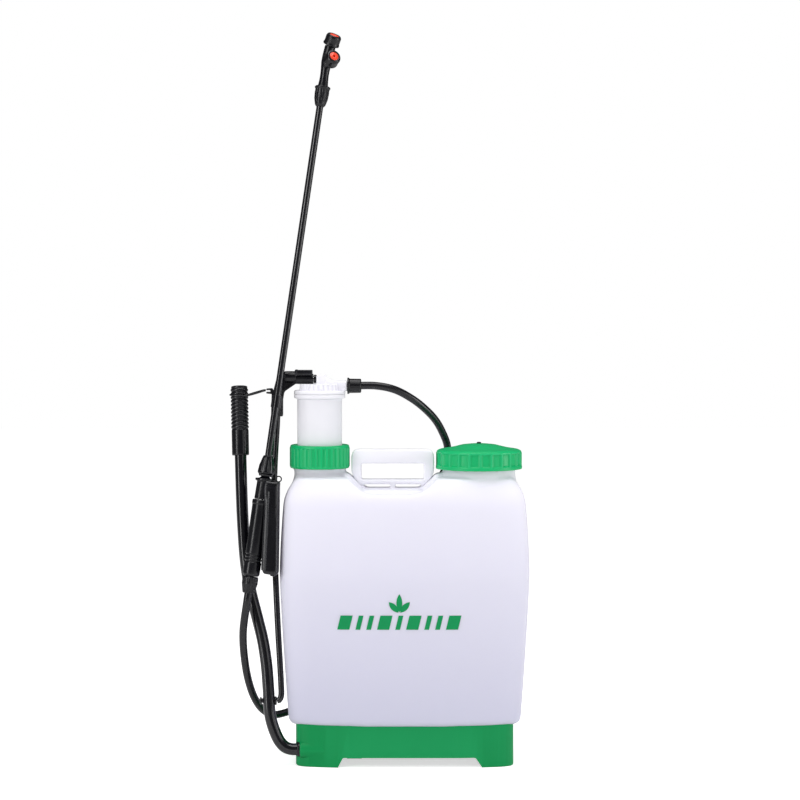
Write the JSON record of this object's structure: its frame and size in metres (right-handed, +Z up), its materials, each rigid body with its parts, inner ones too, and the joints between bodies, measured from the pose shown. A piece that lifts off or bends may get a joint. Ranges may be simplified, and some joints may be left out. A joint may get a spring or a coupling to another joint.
{
  "type": "backpack sprayer",
  "caption": "Lever-operated backpack sprayer: translucent tank on a green base, side pump lever, hose, trigger handle and a straight lance with a twin nozzle.",
  "frame": {"origin": "on the ground under the middle of the base", "axes": "+Z up, +Y towards the wearer's back, +X away from the pump lever"},
  "size_m": [0.4541, 0.2237, 1.1011],
  "materials": {
    "translucent_tank": "satin translucent polyethylene",
    "white_plastic": "smooth moulded",
    "green_plastic": "fine moulded grain",
    "black_plastic": "satin moulded",
    "black_coated_steel": "gloss black powder coat",
    "plain_steel": "zinc plated",
    "black_rubber": "smooth",
    "red_nozzle": "gloss",
    "black_webbing": "woven"
  },
  "bodies": {
    "tank_unit": {"tank_shell": "translucent_tank", "base_skirt": "green_plastic", "base_screw_1": "plain_steel", "base_screw_2": "plain_steel", "base_screw_3": "plain_steel", "base_screw_4": "plain_steel", "carry_handle": "white_plastic", "pump_barrel": "white_plastic", "inlet_valve_seat": "white_plastic", "inlet_valve_ball": "plain_steel", "collar_gasket": "black_rubber", "axle_bush_left": "black_plastic", "axle_bush_right": "black_plastic", "hose_middle": "black_rubber", "strap_left": "black_webbing", "strap_right": "black_webbing", "strap_pad_left": "black_webbing", "strap_pad_right": "black_webbing", "buckle_left": "black_plastic", "buckle_right": "black_plastic"},
    "collar_nut": {"pump_collar_nut": "green_plastic"},
    "cap_carrier": {"fill_cap_gasket": "black_rubber"},
    "cap": {"fill_cap": "green_plastic", "vent_valve": "black_rubber"},
    "strainer": {"strainer_basket": "white_plastic"},
    "plunger": {"air_chamber": "white_plastic", "piston": "white_plastic", "piston_cup": "black_rubber", "pump_head": "white_plastic", "bracket_pin": "plain_steel", "pin_clip": "black_plastic", "hose_upper": "black_rubber"},
    "hose_nut": {"hose_nut_pump": "black_plastic"},
    "link": {"rod_bracket": "black_plastic", "pump_rod": "black_coated_steel"},
    "lever": {"lever_tube": "black_coated_steel", "lever_grip": "black_plastic", "lever_bushing": "black_plastic", "rod_retainer": "plain_steel", "axle_cap": "black_plastic", "stow_band": "black_rubber"},
    "lance_unit": {"valve_body": "black_plastic", "handle_grip": "black_plastic", "trigger_pin": "plain_steel", "valve_spring": "plain_steel", "handle_filter": "white_plastic", "lance_tube": "black_coated_steel", "hose_lower": "black_rubber"},
    "trigger": {"trigger_lever": "black_plastic"},
    "stem": {"valve_stem": "plain_steel"},
    "ring": {"lock_ring": "plain_steel"},
    "lance_collar": {"lance_nut": "black_plastic"},
    "tail_nut": {"hose_nut_trigger": "black_plastic"},
    "nozzle_collar": {"nozzle_nut": "black_plastic"},
    "nozzle_head": {"nozzle_body": "black_plastic"},
    "top_cap": {"nozzle_cap_top": "black_plastic", "nozzle_insert_top": "red_nozzle"},
    "side_cap": {"nozzle_cap_side": "black_plastic", "nozzle_insert_side": "red_nozzle"}
  },
  "joints": [
    {"name": "pump_lever", "type": "hinge", "parent": "tank_unit", "child": "lever", "pos_m": [-0.16, -0.055, 0.025], "axis": [-1, 0, 0], "range_deg": [0, 80]},
    {"name": "pump_slide", "type": "slide", "parent": "tank_unit", "child": "plunger", "axis": [0, 0, -1], "range_m": [0, 0.06582], "deforming": ["hose_upper"]},
    {"name": "link_swing", "type": "hinge", "parent": "plunger", "child": "link", "pos_m": [-0.15, 0, 0.5775], "axis": [1, 0, 0], "range_deg": [0, 7.5]},
    {"name": "collar_turn", "type": "hinge", "parent": "tank_unit", "child": "collar_nut", "pos_m": [-0.1285, 0, 0.46], "axis": [0, 0, 1], "continuous": true},
    {"name": "cap_lift", "type": "slide", "parent": "tank_unit", "child": "cap_carrier", "axis": [0, 0, 1], "range_m": [0, 0.17]},
    {"name": "cap_turn", "type": "hinge", "parent": "cap_carrier", "child": "cap", "pos_m": [0.1125, 0, 0.454], "axis": [0, 0, 1], "continuous": true},
    {"name": "strainer_lift", "type": "slide", "parent": "tank_unit", "child": "strainer", "axis": [0, 0, 1], "range_m": [0, 0.085]},
    {"name": "hose_nut_turn", "type": "hinge", "parent": "plunger", "child": "hose_nut", "pos_m": [-0.076, 0, 0.567], "axis": [1, 0, 0], "continuous": true},
    {"name": "lance_tilt", "type": "hinge", "parent": "tank_unit", "child": "lance_unit", "pos_m": [-0.2334, -0.05455, 0.25953], "axis": [1, 0, 0], "range_deg": [0, 30], "deforming": ["hose_lower"]},
    {"name": "trigger_squeeze", "type": "hinge", "parent": "lance_unit", "child": "trigger", "pos_m": [-0.20425, -0.0392, 0.41928], "axis": [0, 0.9954, -0.0957], "range_deg": [0, 6]},
    {"name": "stem_slide", "type": "slide", "parent": "lance_unit", "child": "stem", "axis": [-0.1424, -0.0947, -0.9853], "range_m": [0, 0.0032]},
    {"name": "lock_ring_flip", "type": "hinge", "parent": "lance_unit", "child": "ring", "pos_m": [-0.19378, -0.03842, 0.42744], "axis": [0, -0.9954, 0.0957], "range_deg": [0, 50]},
    {"name": "lance_nut_turn", "type": "hinge", "parent": "lance_unit", "child": "lance_collar", "pos_m": [-0.20606, -0.03638, 0.44871], "axis": [0.1424, 0.0947, 0.9853], "continuous": true},
    {"name": "tail_nut_turn", "type": "hinge", "parent": "lance_unit", "child": "tail_nut", "pos_m": [-0.23169, -0.05342, 0.27136], "axis": [0.1424, 0.0947, 0.9853], "continuous": true},
    {"name": "nozzle_nut_turn", "type": "hinge", "parent": "lance_unit", "child": "nozzle_collar", "pos_m": [-0.12562, 0.01712, 1.00539], "axis": [0.1424, 0.0947, 0.9853], "continuous": true},
    {"name": "nozzle_head_turn", "type": "hinge", "parent": "lance_unit", "child": "nozzle_head", "pos_m": [-0.12349, 0.01854, 1.02016], "axis": [0.1424, 0.0947, 0.9853], "continuous": true},
    {"name": "top_cap_turn", "type": "hinge", "parent": "nozzle_head", "child": "top_cap", "pos_m": [-0.1126, 0.02424, 1.0795], "axis": [0.349, -0.329, 0.8775], "continuous": true},
    {"name": "side_cap_turn", "type": "hinge", "parent": "nozzle_head", "child": "side_cap", "pos_m": [-0.1186, 0.0215, 1.051], "axis": [0.4494, -0.799, 0.3995], "continuous": true}
  ],
  "couplings": [
    {"joint": "pump_slide", "follows": "pump_lever", "m_per_rad": 0.047108},
    {"joint": "link_swing", "follows": "pump_lever", "ratio": 0.093666},
    {"joint": "stem_slide", "follows": "trigger_squeeze", "m_per_rad": 0.028648},
    {"joint": "strainer_lift", "follows": "cap_lift", "ratio": 0.5}
  ]
}
